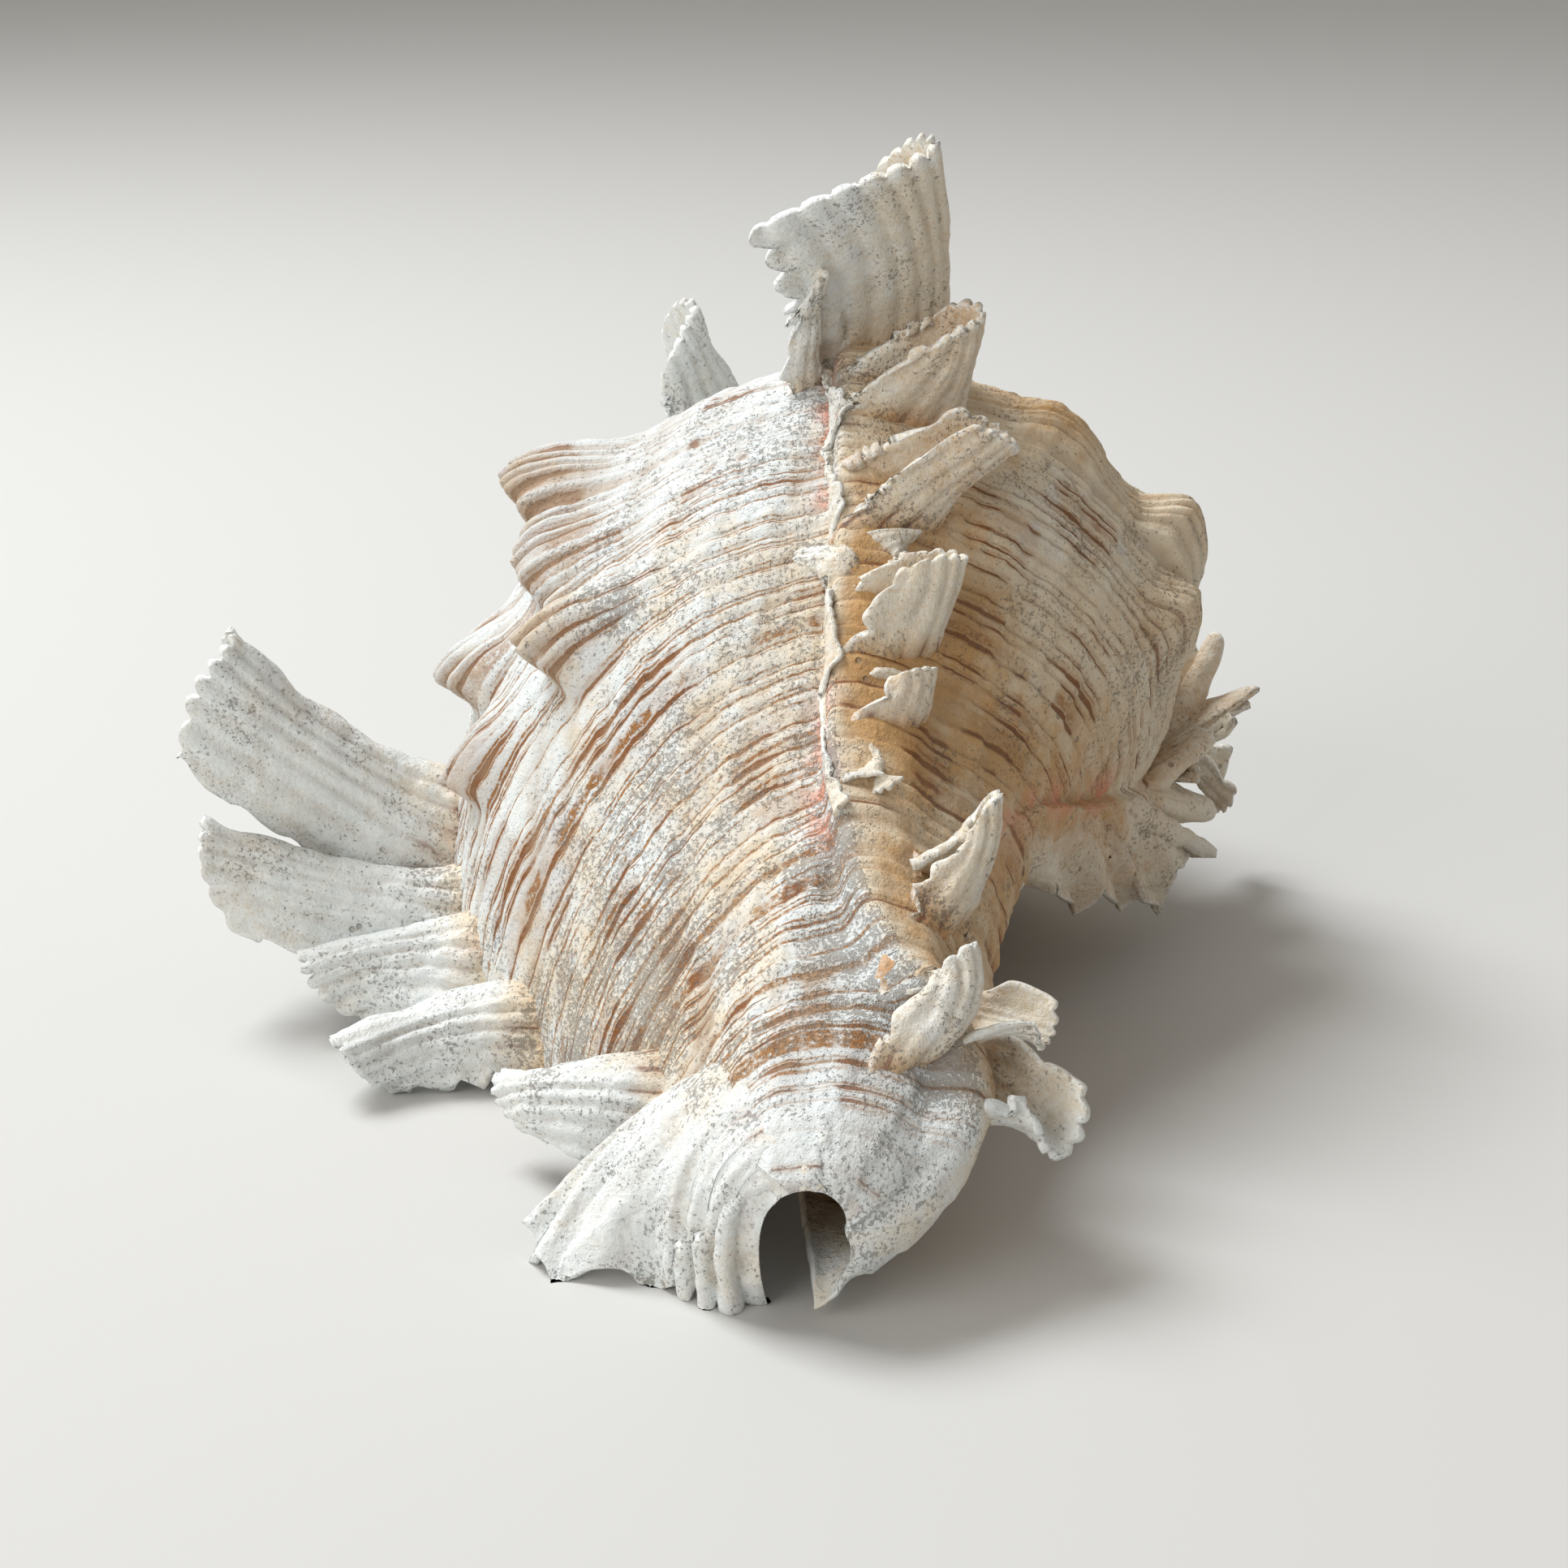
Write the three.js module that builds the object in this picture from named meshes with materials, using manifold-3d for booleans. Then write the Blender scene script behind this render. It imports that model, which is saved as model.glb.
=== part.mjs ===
// A ramose murex shell, resting with its aperture down, in millimetres and +Z up.
// +Y runs from the siphonal canal towards the apex, and Z = 0 is the surface that the shell rests on.
//
// The wall is a spiral surface. A point on it has two numbers: turn, the angle round the coiling axis in
// degrees (0 is the top of the back, and it grows the way the animal grew, up to the outer lip at LIP_TURN),
// and reach, the distance from the apex that the point has on the outer lip's own profile.
import * as THREE from "three";
import { mergeVertices } from "three/addons/utils/BufferGeometryUtils.js";
import Module from "manifold-3d";

// Driving dimensions of the shell
const LENGTH = 168; // apex to the tip of the siphonal canal, along the coiling axis
const GROWTH_PER_TURN = 1.6; // how much larger each whorl is than the one before
const LIP_TURN = 118; // where the outer lip ends
const AXIS_TILT = 13; // degrees that the apex is raised above the canal
const CANAL_HEIGHT = 12; // height of the coiling axis over the resting surface, at the canal's tip
const CANAL_REACH = 108; // from here on the whorl turns into the canal, which doesn't spiral
const SPIRE_TURNS = 3; // whorls in the spire, before the last whorl

// The turns that the wall is drawn at: steps in degrees, and how far round a crest it is drawn in small steps
const CREST_TURNS = [4, -20, -58, -116, -105];
const STEP = { small: 5.5, plain: 12, spire: 24, before: 7, after: 10, spireFrom: 380 };

// The outer lip's profile: [reach, radius from the coiling axis]
const PROFILE = [
  [40, 29], [46, 40], [52, 47.5], [58, 51.5], [66, 53.5], [74, 53.5], [84, 51], [94, 46.5], [104, 40.5],
  [112, 34.5], [120, 28.5], [128, 23.5], [136, 19.5], [146, 16], [158, 13], [168, 10.5],
];
const FLARE_FROM = 50; // the wall starts to spread towards the lip at this turn
// [reach, spread at the lip]
const FLARE = [[40, 0], [60, 5], [80, 11], [100, 16], [125, 14], [150, 8], [168, 4]];
const FLARE_POWER = 2.2;

// The canal closes towards its end, where its edge has these radii: [turn, radius]
const CLOSES_FROM = 153;
const CANAL_END = [
  [-242, 9], [-190, 11.5], [-170, 7], [-150, 4], [-120, 2.5], [-90, 2], [-60, 2.2], [-30, 3.2], [0, 5],
  [30, 6.5], [70, 8], [118, 9],
];
// The open end of the canal, under its roof: [reach, inner radius], and how deep it is cut at each turn
const MOUTH = [[150, 9], [156, 6], [162, 3], [168, 1], [173, 0.6]];
const MOUTH_DEPTH = [[30, 2.5], [75, 2.5], [115, 3], [147, 10], [164, 14], [180, 14]];

// The varices are old lips. Each is a line of [reach, turn] on the last whorl, or a turn on the spire.
const MIDDLE_VARIX = [[40, 5], [74, 3], [100, 2], [127, 2], [136, -4], [148, -20], [155, -58], [168, -85]];
const RIGHT_VARIX = [[40, -118], [80, -113], [90, -109], [101, -104], [114, -94], [128, -68], [168, -60]];
const SPIRE_VARICES = [-232, -332, -450, -565, -690, -810];
const VARIX = { height: 4.5, back: 9, front: 3 }; // how high, and how far its slopes run in mm
const RIGHT_VARIX_ENDS = [114, 128]; // it runs out between these reaches

// The axial folds between the varices: [turn, reach, height, slope behind, slope in front, half length]
const FOLDS = [
  [58, 68, 12, 9, 5, 8],
  [63, 91, 7, 8, 4, 6],
  [81, 79, 7, 7, 4, 5],
  [87, 92, 5, 7, 4, 5],
  [-32, 68, 3, 8, 6, 8],
  [-60, 68, 7, 9, 5, 7],
  [-69, 82, 5, 7, 5, 6],
  [-160, 66, 6, 9, 5, 8],
  [-200, 66, 6, 9, 5, 8],
];

// The hollow behind the aperture: [reach, wall thickness at the lip, radius of its inner side]
const HOLLOW = [
  [48, 4, 36], [54, 4, 33], [62, 4, 29], [70, 4, 25], [80, 4, 21], [90, 4, 18.5],
  [100, 4, 18], [108, 6, 17], [116, 11, 16.5], [123, 14, 16],
];
const HOLLOW_TO = -50; // the hollow runs back to this turn
// [reach, inner radius]
const CANAL_GROOVE = [[118, 16.5], [128, 16], [136, 15], [146, 10.5], [158, 7], [172, 4]];
const CANAL_GAP = 5.4; // width of the groove under the canal
const CANAL_GROOVE_TO = 92; // the groove runs back to this turn

// The fronds are open leaves that are folded along their back:
// [root turn, root reach, tip turn, tip distance from the apex, tip radius,
//  how far it rises straight out, half width at the root and the tip, fold depth at the root and the tip]
const LIP_FRONDS = [
  [112, 60, 121, 56, 74, 10, 7, 5, 7, 7],
  [110, 68, 112, 68, 76, 6, 6, 5, 7, 7],
  [94, 80, 76, 82, 84, 14, 9, 8, 18, 17],
  [102, 91, 91, 93, 86, 14, 7.5, 6.5, 14, 12],
  [107, 99, 106, 102, 74, 8, 7, 6, 11, 10],
  [110, 112, 103, 121, 66, 10, 7, 5, 10, 7],
  [97, 140, 103, 132.5, 43.5, 12, 8, 5.5, 11, 7.5],
];
const MIDDLE_FRONDS = [
  [-9, 58, -5, 60, 78, 14, 9, 9, 19, 23],
  [-13, 78, -12.5, 69, 62, 6, 6, 4, 13, 6],
  [-12, 96, -21, 78, 50.5, 4, 5.5, 3, 11, 5],
  [-16, 112, -17, 92, 41.5, 4, 5, 3.5, 9.5, 5],
  [-17, 121, -16, 102, 31.5, 3, 4.2, 3, 7, 4],
  [-8, 130, -6, 117, 25, 3, 4, 3, 5, 4],
  [-46, 141, -30, 127, 33.5, 7, 5.5, 3.5, 12, 5],
  [-48, 153, -35, 144, 25.5, 5, 5, 3.5, 9, 5],
  [-60, 151, -69, 147, 24, 4, 4.5, 4, 5, 5],
  [-88, 153, -91, 154, 25, 4, 5.5, 5, 6, 6],
];
const RIGHT_FRONDS = [[-116, 58, -122, 38, 58, 8, 6, 4, 9, 5]];
const SPIRE_FRONDS = [
  [-323, 58, -332, 40, 54, 8, 7, 5, 10, 7],
  [-235, 60, -240, 32, 42, 4, 5, 4, 6, 5],
  [-452, 60, -456, 20, 27, 3, 4, 3, 5, 4],
];

// Along the right varix the fronds grow together into a pleated skirt. Pleat by pleat: [turn, reach] of its
// base on the wall, and [turn, distance, radius] of its tip
const SKIRT = [
  [[-113, 63], [-92.7, 36, 44.5]],
  [[-112, 69], [-92.2, 40, 47.5]],
  [[-111, 75], [-99.2, 45, 52.9]],
  [[-110, 80], [-101.2, 50, 50.2]],
  [[-109.5, 85], [-102.2, 54, 45.9]],
  [[-108, 92], [-113.5, 57, 49.5]],
  [[-105, 98], [-118.4, 61, 51.9]],
  [[-101, 106], [-126.9, 68, 50.2]],
  [[-95, 112], [-125.7, 75, 42.6]],
  [[-86, 119], [-124.2, 84, 33.8]],
  [[-74, 126], [-109.7, 95, 22.4]],
  [[-60, 131], [-90.3, 104, 17.2]],
];
const SKIRT_VALLEY = 0.66; // how far the sheet reaches between two pleats, against the pleats
// pleat: how far a pleat stands out at the margin; sunk: how deep the base sits in the wall
const SKIRT_SHEET = { thickness: 2.2, sunk: 2.5, rows: 2, pleat: 1.6 };

const LEAF = { thickness: 2, root: 6, slant: 0.2, jag: 0.12, rows: 3, columns: 4, longRows: 4, longFrom: 8 };

// The fan beside the canal's end, rib by rib: [turn, reach] of its base on the wall, and [turn, distance,
// radius] of its margin
const FAN = [
  [[96, 148], [109.4, 155.5, 38]],
  [[78, 147], [113.6, 161.5, 34.5]],
  [[60, 153], [121, 162.4, 27]],
  [[42, 159], [129, 164, 21.5]],
  [[24, 164], [137, 166.6, 18]],
  [[5, 167.7], [150, 165.4, 15.7]],
];
const FAN_HUMP = [2, 2.2, 2.1, 1.9, 1.6, 1.2]; // how far each rib's middle stands out from a straight line
const FAN_THICKNESS = 2.4;
const FAN_ROWS = 4;

const DEGREE = Math.PI / 180;
const GROWTH = Math.log(GROWTH_PER_TURN) / 360;
const clamp = THREE.MathUtils.clamp;
const lerp = THREE.MathUtils.lerp;

// The height at x of a smooth curve through points [x, y], level past its ends
function curve(points, x) {
  const last = points.length - 1;
  if (x <= points[0][0]) return points[0][1];
  if (x >= points[last][0]) return points[last][1];
  const i = points.findIndex((point) => point[0] > x) - 1;
  const slope = (j) => {
    const [a, b] = [points[Math.max(j - 1, 0)], points[Math.min(j + 1, last)]];
    return (b[1] - a[1]) / (b[0] - a[0]);
  };
  const [[x0, y0], [x1, y1]] = [points[i], points[i + 1]];
  const run = x1 - x0;
  const t = (x - x0) / run;
  const rise = THREE.MathUtils.smoothstep(t, 0, 1);
  return lerp(y0, y1, rise) + run * t * (1 - t) * ((1 - t) * slope(i) - t * slope(i + 1));
}

// The coiling axis, and the two directions across it
const axis = new THREE.Vector3(0, Math.cos(AXIS_TILT * DEGREE), Math.sin(AXIS_TILT * DEGREE));
const right = new THREE.Vector3(1, 0, 0);
const up = new THREE.Vector3().crossVectors(right, axis);
const apex = new THREE.Vector3(0, 0, CANAL_HEIGHT).addScaledVector(axis, LENGTH);

function outward(turn) {
  const across = right.clone().multiplyScalar(-Math.sin(turn * DEGREE));
  return across.addScaledVector(up, Math.cos(turn * DEGREE));
}
const place = (turn, distance, radius) =>
  apex.clone().addScaledVector(axis, -distance).addScaledVector(outward(turn), radius);

// The size of the whorl at a turn, against its size at the lip
function growth(turn, reach) {
  const spiral = 1 - THREE.MathUtils.smoothstep(reach, CANAL_REACH, LENGTH);
  return Math.exp(GROWTH * (turn - LIP_TURN) * spiral);
}

// A rounded step that climbs slowly from behind a crest and drops quickly in front of it
function ridge(arc, back, front) {
  return Math.exp(-((arc / (arc < 0 ? back : front)) ** 2));
}

function wallRadius(turn, reach) {
  const size = growth(turn, reach);
  const plain = size * curve(PROFILE, reach);
  const arcTo = (crest) => (turn - crest) * DEGREE * plain;
  const flared = clamp((turn - FLARE_FROM) / (LIP_TURN - FLARE_FROM), 0, 1) ** FLARE_POWER;
  let radius = plain + flared * curve(FLARE, reach);
  const runsOut = 1 - THREE.MathUtils.smoothstep(reach, ...RIGHT_VARIX_ENDS);
  const crests = [[curve(MIDDLE_VARIX, reach), 1], [curve(RIGHT_VARIX, reach), runsOut]];
  for (const crest of SPIRE_VARICES) crests.push([crest, 1]);
  for (const [crest, share] of crests)
    radius += share * VARIX.height * size * ridge(arcTo(crest), VARIX.back * size, VARIX.front * size);
  for (const [crest, at, height, back, front, half] of FOLDS)
    radius += height * ridge(arcTo(crest), back, front) * Math.exp(-(((reach - at) / half) ** 2));
  if (reach <= CLOSES_FROM) return radius;
  const closing = Math.sqrt(1 - clamp((reach - CLOSES_FROM) / (LENGTH - CLOSES_FROM), 0, 1) ** 2);
  return lerp(curve(CANAL_END, turn), radius, closing);
}

const wall = (turn, reach, lift = 0) =>
  place(turn, growth(turn, reach) * reach, wallRadius(turn, reach) + lift);

const wasm = await Module();
wasm.setup();

// A closed solid, lofted through sections. Each section is two rows of points, an outer and an inner one.
function loft(sections) {
  const columns = sections[0][0].length;
  const points = sections.flatMap(([outer, inner]) => [...outer, ...[...inner].reverse()]);
  const around = 2 * columns;
  const faces = [];
  const quad = (a, b, c, d) => faces.push(a, b, c, a, c, d);
  for (let i = 0; i + 1 < sections.length; i++)
    for (let j = 0; j < around; j++) {
      const [here, next] = [i * around + j, i * around + ((j + 1) % around)];
      quad(here, next, next + around, here + around);
    }
  const end = (sections.length - 1) * around;
  for (let j = 0; j + 1 < columns; j++) {
    const [a, b, c, d] = [j, j + 1, around - 2 - j, around - 1 - j];
    quad(a, d, c, b);
    quad(end + a, end + b, end + c, end + d);
  }
  const geometry = new THREE.BufferGeometry();
  geometry.setAttribute("position", new THREE.Float32BufferAttribute(points.flatMap((p) => p.toArray()), 3));
  geometry.setIndex(faces);
  const welded = mergeVertices(geometry, 1e-4);
  const corners = welded.index.array;
  const whole = [];
  for (let i = 0; i < corners.length; i += 3) {
    const [a, b, c] = corners.slice(i, i + 3);
    if (a !== b && b !== c && c !== a) whole.push([a, b, c]);
  }
  const closed = (triangles) =>
    new wasm.Manifold(
      new wasm.Mesh({
        numProp: 3,
        vertProperties: welded.attributes.position.array,
        triVerts: new Uint32Array(triangles.flat()),
      }),
    );
  const made = closed(whole);
  return made.volume() > 0 ? made : closed(whole.map(([a, b, c]) => [a, c, b]));
}

// The turns that the wall is drawn at, closer together where a varix or a fold stands on the last whorl
function drawnTurns() {
  const crests = [...CREST_TURNS, ...FOLDS.map((fold) => fold[0])];
  const turns = [LIP_TURN];
  const first = LIP_TURN - 360 * (SPIRE_TURNS + 1);
  while (turns[0] > first) {
    const turn = turns[0];
    const near = crests.some((crest) => turn > crest - STEP.before && turn < crest + STEP.after);
    const step = turn < LIP_TURN - STEP.spireFrom ? STEP.spire : near ? STEP.small : STEP.plain;
    turns.unshift(turn - step);
  }
  return turns;
}

// A stretch of a whorl, filled in almost to the coiling axis
const AXIS_HOLE = 1.5;
function whorl(turns, reaches) {
  return loft(
    turns.map((turn) => [
      reaches.map((reach) => wall(turn, reach)),
      reaches.map((reach) => place(turn, growth(turn, reach) * reach, AXIS_HOLE)),
    ]),
  );
}

// A round bar along the coiling axis, which the whorls close round
function columella() {
  const turns = Array.from({ length: 7 }, (_, i) => i * 30);
  const row = (distance, radius, side) => turns.map((turn) => place(side * turn, distance, radius));
  const at = [[5, 1.8], [12, 3.5], [30, 7], [60, 8], [150, 7], [168, 3.5]]; // [distance, radius]
  return loft(at.map(([distance, radius]) => [row(distance, radius, 1), row(distance, radius, -1)]));
}

function hollow() {
  const turns = [];
  for (let turn = LIP_TURN + 4; turn > HOLLOW_TO; turn -= 12) turns.push(turn);
  return loft(
    turns.map((turn) => {
      const section = [[], []];
      for (const [reach, thickness, inner] of HOLLOW) {
        const size = growth(turn, reach);
        const distance = size * reach;
        section[1].push(place(turn, distance, size * inner));
        const wallHere = wallRadius(Math.min(turn, LIP_TURN), reach);
        const outer = Math.max(wallHere - size * thickness, size * inner + 1);
        section[0].push(place(turn, distance, outer));
      }
      return section;
    }),
  );
}

function canalGroove() {
  const turns = [LIP_TURN + 40, LIP_TURN + 20, LIP_TURN + 4, 110, 100, CANAL_GROOVE_TO];
  return loft(
    turns.map((turn) => [
      CANAL_GROOVE.map(([reach, inner]) => place(turn, reach, inner + CANAL_GAP)),
      CANAL_GROOVE.map(([reach, inner]) => place(turn, reach, inner)),
    ]),
  );
}

function canalMouth() {
  return loft(
    MOUTH_DEPTH.map(([turn, depth]) => [
      MOUTH.map(([reach, inner]) => place(turn, reach, inner + depth)),
      MOUTH.map(([reach, inner]) => place(turn, reach, inner)),
    ]),
  );
}

function fan() {
  const under = new THREE.Vector3(0, 0, -FAN_THICKNESS);
  return loft(
    FAN.map(([[turn, reach], margin], i) => {
      const base = wall(turn, reach, -FAN_THICKNESS / 2);
      const tip = place(...margin);
      const outer = [];
      for (let j = 0; j <= FAN_ROWS; j++) {
        const share = j / FAN_ROWS;
        const point = base.clone().lerp(tip, share);
        point.z += FAN_HUMP[i] * Math.sin(Math.PI * share);
        outer.push(point);
      }
      return [outer, outer.map((point) => point.clone().add(under))];
    }),
  );
}

function skirt() {
  const rows = [];
  const halfway = (a, b) => a.map((value, k) => (value + b[k]) / 2);
  SKIRT.forEach(([foot, tip], i) => {
    rows.push({ base: wall(...foot, -SKIRT_SHEET.sunk), tip: place(...tip), side: 1 });
    if (i + 1 === SKIRT.length) return;
    const [nextFoot, nextTip] = SKIRT[i + 1];
    const base = wall(...halfway(foot, nextFoot), -SKIRT_SHEET.sunk);
    const between = place(...tip).add(place(...nextTip)).multiplyScalar(0.5);
    rows.push({ base, tip: base.clone().lerp(between, SKIRT_VALLEY), side: -1 });
  });
  return loft(
    rows.map(({ base, tip, side }, i) => {
      const [before, after] = [rows[Math.max(i - 1, 0)], rows[Math.min(i + 1, rows.length - 1)]];
      const along = after.base.clone().sub(before.base);
      const across = new THREE.Vector3().crossVectors(along, tip.clone().sub(base)).normalize();
      const outer = [];
      for (let j = 0; j <= SKIRT_SHEET.rows; j++) {
        const share = j / SKIRT_SHEET.rows;
        outer.push(base.clone().lerp(tip, share).addScaledVector(across, side * SKIRT_SHEET.pleat * share));
      }
      return [outer, outer.map((point) => point.clone().addScaledVector(across, -SKIRT_SHEET.thickness))];
    }),
  );
}

const THICKEST_SHARE = 0.45; // a leaf is never thicker than this share of its half width
function frond([turn, reach, tipTurn, tipDistance, tipRadius, rise, rootHalf, tipHalf, rootFold, tipFold]) {
  const root = wall(turn, reach, -LEAF.root);
  const bend = wall(turn, reach, rise);
  const tip = place(tipTurn, tipDistance, tipRadius);
  const spine = new THREE.QuadraticBezierCurve3(root, bend, tip);
  const point = (s, v, inside, jag) => {
    const at = s * (1 - LEAF.slant * v * v * s);
    const tangent = spine.getTangent(at);
    const side = axis.clone().negate();
    side.addScaledVector(tangent, -side.dot(tangent)).normalize();
    const front = new THREE.Vector3().crossVectors(tangent, side).normalize();
    if (front.dot(outward(turn + 90)) < 0) front.negate();
    const angle = (Math.abs(v) * Math.PI) / 2;
    const width = lerp(rootHalf, tipHalf, s) * (1 + jag);
    const inset = inside ? Math.min(LEAF.thickness, THICKEST_SHARE * width) : 0;
    const fold = lerp(rootFold, tipFold, s) * (1 + jag);
    return spine
      .getPoint(at)
      .addScaledVector(side, Math.sign(v) * (width - inset) * Math.sin(angle))
      .addScaledVector(front, inset + (fold - inset) * (1 - Math.cos(angle)));
  };
  const sections = [];
  const rows = rise >= LEAF.longFrom ? LEAF.longRows : LEAF.rows;
  for (let i = 0; i <= rows; i++) {
    const jag = i === 0 ? 0 : LEAF.jag * (i % 2 ? 1 : -1);
    const columns = Array.from({ length: LEAF.columns + 1 }, (_, j) => (2 * j) / LEAF.columns - 1);
    sections.push([
      columns.map((v) => point(i / rows, v, false, jag)),
      columns.map((v) => point(i / rows, v, true, jag)),
    ]);
  }
  return loft(sections);
}

const REACHES = [40, 47, 54, 62, 71, 80, 90, 101, 113, 126, 140, 152, 160, 165.5, 168];
const SPIRE_REACHES = REACHES.slice(0, 7);
const WIDEST_STRETCH = 125; // degrees of a whorl that are made at once

const pieces = [columella()];
const turns = drawnTurns();
let first = turns.length - 1;
while (first > 0) {
  const last = first;
  while (first > 0 && turns[last] - turns[first - 1] < WIDEST_STRETCH) first--;
  const inLastWhorl = turns[last] > LIP_TURN - 360;
  pieces.push(whorl(turns.slice(first, last + 1), inLastWhorl ? REACHES : SPIRE_REACHES));
  if (first > 0) first++;
}
let shell = wasm.Manifold.union(pieces).subtract(hollow()).subtract(canalGroove()).subtract(canalMouth());
const leaves = [...LIP_FRONDS, ...MIDDLE_FRONDS, ...RIGHT_FRONDS, ...SPIRE_FRONDS].map(frond);
shell = wasm.Manifold.union([shell, fan(), skirt(), ...leaves]);

// What would sink under the resting surface is worn flat there.
const REST = new THREE.BoxGeometry(400, 500, 100).translate(0, 100, -50);
const restPoints = mergeVertices(REST.deleteAttribute("normal").deleteAttribute("uv"), 1e-4);
shell = shell.subtract(
  new wasm.Manifold(
    new wasm.Mesh({
      numProp: 3,
      vertProperties: restPoints.attributes.position.array,
      triVerts: new Uint32Array(restPoints.index.array),
    }),
  ),
);

// Where two surfaces cross at a flat angle, points come out closer together than the shell's own detail. They
// are drawn together on a fine grid, and the faces that this closes up are left out.
const GRID = 0.01;
function drawnTogether(mesh) {
  const seen = new Map();
  const points = [];
  const names = [];
  for (let i = 0; i < mesh.vertProperties.length; i += 3) {
    const place = Array.from(mesh.vertProperties.slice(i, i + 3), (v) => Math.round(v / GRID));
    const key = place.join();
    if (!seen.has(key)) {
      seen.set(key, points.length / 3);
      points.push(...place.map((v) => v * GRID));
    }
    names.push(seen.get(key));
  }
  const faces = new Map();
  for (let i = 0; i < mesh.triVerts.length; i += 3) {
    const face = Array.from(mesh.triVerts.slice(i, i + 3), (v) => names[v]);
    if (new Set(face).size < 3) continue;
    const key = [...face].sort((a, b) => a - b).join();
    if (faces.has(key)) faces.delete(key);
    else faces.set(key, face);
  }
  return { points, faces: [...faces.values()].flat() };
}

// The outer surface alone: a pocket that leaves close off between them is filled.
const outside = shell.decompose().sort((a, b) => b.volume() - a.volume())[0];
const { points, faces } = drawnTogether(outside.getMesh());
const geometry = new THREE.BufferGeometry();
geometry.setAttribute("position", new THREE.Float32BufferAttribute(points, 3));
geometry.setIndex(faces);
geometry.computeBoundingBox();
const middle = geometry.boundingBox.getCenter(new THREE.Vector3());
geometry.translate(-middle.x, -middle.y, 0);
geometry.computeVertexNormals();

const material = new THREE.MeshStandardMaterial({ color: 0xe4d8c8, roughness: 0.75, metalness: 0 });
const murexShell = new THREE.Mesh(geometry, material);
murexShell.name = "murex_shell";

const group = new THREE.Group();
group.add(murexShell);
export default group;
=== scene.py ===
"""A ramose murex shell resting with its aperture down.

The wall, the fronds and the spire follow the same spiral surface as the solid does. Turn is the angle round
the coiling axis in degrees. Reach is the distance from the apex in mm that a point has on the profile of the
outer lip.
"""

import math

import bpy
import numpy as np
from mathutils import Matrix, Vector


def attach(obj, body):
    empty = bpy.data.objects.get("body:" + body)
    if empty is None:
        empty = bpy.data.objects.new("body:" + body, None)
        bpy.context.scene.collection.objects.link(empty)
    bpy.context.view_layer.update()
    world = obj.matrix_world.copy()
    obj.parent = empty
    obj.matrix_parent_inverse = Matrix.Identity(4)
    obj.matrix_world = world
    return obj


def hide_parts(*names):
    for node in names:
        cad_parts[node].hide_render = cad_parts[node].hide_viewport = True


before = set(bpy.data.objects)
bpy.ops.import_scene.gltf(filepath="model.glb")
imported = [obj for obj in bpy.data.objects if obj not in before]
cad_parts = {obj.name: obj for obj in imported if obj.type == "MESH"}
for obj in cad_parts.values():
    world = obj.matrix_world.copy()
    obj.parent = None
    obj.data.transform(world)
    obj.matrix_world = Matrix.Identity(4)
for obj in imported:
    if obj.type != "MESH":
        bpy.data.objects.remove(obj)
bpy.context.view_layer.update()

MM = 0.001
LENGTH = 168  # from the apex to the canal's tip
GROWTH_PER_TURN = 1.6
LIP_TURN = 118
AXIS_TILT = 13  # degrees that the axis rises towards the apex
CANAL_HEIGHT = 12  # of the axis at the canal's tip
CANAL_REACH = 108  # from this reach on the growth round the axis fades out
CENTRE = (-18.18, 78.65)  # the middle of the box in x and y, seen from the canal's tip

FIRST_REACH = 40  # where a whorl leaves the one above it
# (reach, radius) of the wall at the lip, without its flare
PROFILE = [
    (40, 29), (46, 40), (52, 47.5), (58, 51.5), (66, 53.5), (74, 53.5), (84, 51), (94, 46.5), (104, 40.5),
    (112, 34.5), (120, 28.5), (128, 23.5), (136, 19.5), (146, 16), (158, 13), (168, 10.5),
]
FLARE_FROM = 50  # turn
FLARE_POWER = 2.2
# (reach, mm that the lip flares out)
FLARE = [(40, 0), (60, 5), (80, 11), (100, 16), (125, 14), (150, 8), (168, 4)]
CLOSES_FROM = 153  # from this reach on the canal closes towards its end
# (turn, radius of the canal's edge)
CANAL_END = [
    (-242, 9), (-190, 11.5), (-170, 7), (-150, 4), (-120, 2.2), (-90, 1.6), (-60, 1.9), (-30, 3), (0, 5),
    (30, 6.5), (70, 8), (118, 9),
]
# (reach, turn) of the crest of each varix on the body whorl, and the turns of those on the spire
MIDDLE_VARIX = [(40, 5), (74, 3), (100, 2), (127, 2), (136, -4), (148, -20), (155, -58), (168, -85)]
RIGHT_VARIX = [(40, -118), (80, -113), (90, -109), (101, -104), (114, -94), (128, -68), (168, -60)]
SPIRE_VARICES = [-232, -332, -450, -565, -690, -810]
VARIX_HEIGHT = 4.5
VARIX_BACK = 9  # mm that it slopes down over behind its crest
VARIX_FRONT = 2.2  # and in front
RIGHT_VARIX_ENDS = (114, 128)  # it runs out between these reaches
VARIX_LEAN = 1.6  # mm that a varix hangs over in front
VARIX_LEAN_BACK = 3
VARIX_LEAN_ENDS = (140, 150)
FOLD_LEAN = 0.3  # of a fold's height
FOLD_LEAN_BACK = 4
FOLD_POWER = 2.7  # how squarely a fold ends

# The knobs and folds: [turn, reach, height, slope behind, slope in front, half length]
FOLDS = [
    (52.5, 67.5, 10, 6.5, 2.8, 8.5), (57, 82, 5.5, 8, 2.5, 7), (60, 95, 7, 9, 2, 4),
    (78, 78, 7, 6, 2.6, 5), (86, 91, 5, 7, 2.4, 4),
    (-32, 68, 3, 8, 6, 8), (-60, 68, 7, 9, 4.5, 7), (-69, 82, 5, 7, 4.5, 6), (-160, 66, 6, 9, 5, 8),
    (-200, 66, 6, 9, 5, 8),
]

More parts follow.
